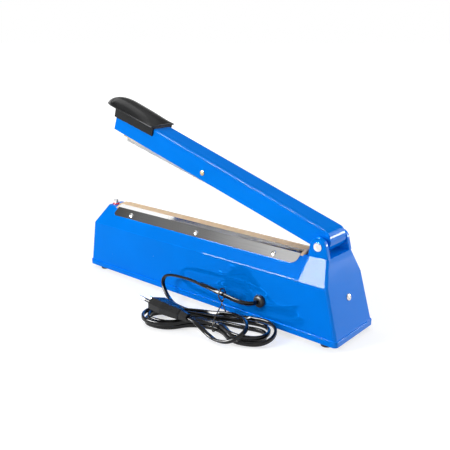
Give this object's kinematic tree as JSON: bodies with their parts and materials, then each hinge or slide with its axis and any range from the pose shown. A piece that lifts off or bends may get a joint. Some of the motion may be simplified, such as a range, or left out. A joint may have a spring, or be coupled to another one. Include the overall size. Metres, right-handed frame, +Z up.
{
  "type": "impulse heat sealer",
  "caption": "Bench impulse bag sealer: hollow base with a heated bed, hinged arm with rocking pressure bar and grip, timer knob, and a mains cord tied in a hank.",
  "frame": {"origin": "middle of the base, on the surface under the feet", "axes": "+X towards the handle end, +Y towards the side with the cord, +Z up"},
  "size_m": [0.41, 0.1821, 0.2433],
  "materials": {
    "housing_blue": "glossy azure blue",
    "plate_steel": "zinc plated",
    "rubber_black": "matt",
    "screw_nickel": "bright nickel",
    "bed_board": "fibre board",
    "ribbon_nichrome": "rolled",
    "terminal_brass": "plain",
    "cloth_tan": "coated glass cloth",
    "clamp_steel": "polished",
    "core_steel": "varnished",
    "coil_tape": "taped",
    "strap_steel": "plain",
    "board_green": "solder mask",
    "parts_dark": "moulded",
    "knob_black": "satin",
    "lens_red": "clear red",
    "collar_red": "glossy",
    "plunger_chrome": "polished",
    "spring_steel": "oiled",
    "grip_charcoal": "fine grain",
    "zinc_yellow": "yellow zinc",
    "silicone_grey": "soft",
    "cord_black": "flexible",
    "plug_black": "moulded",
    "plug_nickel": "nickel",
    "tie_black": "wire"
  },
  "bodies": {
    "base": {"base_housing": "housing_blue", "bottom_plate": "plate_steel", "rubber_feet": "rubber_black", "strain_relief": "rubber_black", "bottom_screws": "screw_nickel", "foot_screws": "screw_nickel", "end_screw": "screw_nickel", "clamp_screws": "screw_nickel", "transformer_screws": "screw_nickel", "switch_screws": "screw_nickel", "hinge_pin": "screw_nickel", "pin_clip": "screw_nickel", "hinge_bushes": "screw_nickel", "pot_nut": "screw_nickel", "sealing_bed": "bed_board", "heating_element": "ribbon_nichrome", "element_terminals": "terminal_brass", "ptfe_cover": "cloth_tan", "clamp_plate_rear": "clamp_steel", "clamp_plate_front": "clamp_steel", "transformer_core": "core_steel", "transformer_coil": "coil_tape", "transformer_bracket": "strap_steel", "timer_board": "board_green", "timer_parts": "parts_dark", "potentiometer": "parts_dark", "switch_body": "parts_dark", "indicator_lamp": "parts_dark", "indicator_lens": "lens_red", "plunger_collar": "collar_red", "return_spring": "spring_steel", "cord_lead": "cord_black", "cord_hank": "cord_black", "cord_tail": "cord_black", "plug_body": "plug_black", "plug_sleeves": "plug_black", "plug_pins": "plug_nickel", "twist_tie": "tie_black"},
    "arm": {"arm_shell": "housing_blue", "handle_grip": "grip_charcoal", "grip_screws": "screw_nickel", "bar_pin": "zinc_yellow", "switch_striker": "zinc_yellow", "striker_screw": "screw_nickel"},
    "bar": {"pressure_bar": "zinc_yellow", "silicone_strip": "silicone_grey"},
    "plunger": {"switch_plunger": "plunger_chrome"},
    "lever": {"switch_lever": "screw_nickel"},
    "knob": {"timer_knob": "knob_black", "potentiometer_shaft": "screw_nickel"}
  },
  "joints": [
    {"name": "arm_hinge", "type": "hinge", "parent": "base", "child": "arm", "pos_m": [-0.1673, 0, 0.1075], "axis": [0, 1, 0], "range_deg": [0, 16.8], "stiffness_Nm_per_rad": 1.2, "springref_deg": -45.84, "deforming": ["return_spring"]},
    {"name": "bar_rock", "type": "hinge", "parent": "arm", "child": "bar", "pos_m": [0.00641, 0, 0.16287], "axis": [0, 1, 0], "range_deg": [-2.2, 0]},
    {"name": "plunger_press", "type": "slide", "parent": "base", "child": "plunger", "axis": [0, 0, -1], "range_m": [0, 0.0025], "stiffness_N_per_m": 400, "springref_m": -0.002},
    {"name": "lever_turn", "type": "hinge", "parent": "base", "child": "lever", "pos_m": [0.17, 0.0033, 0.0713], "axis": [0, 1, 0], "range_deg": [0, 9]},
    {"name": "knob_turn", "type": "hinge", "parent": "base", "child": "knob", "pos_m": [0.095, -0.03868, 0.036], "axis": [0, -0.9994, 0.0355], "range_deg": [-270, 0]}
  ],
  "couplings": [
    {"joint": "bar_rock", "follows": "arm_hinge", "ratio": -0.12917},
    {"joint": "lever_turn", "follows": "plunger_press", "rad_per_m": 60.6}
  ]
}
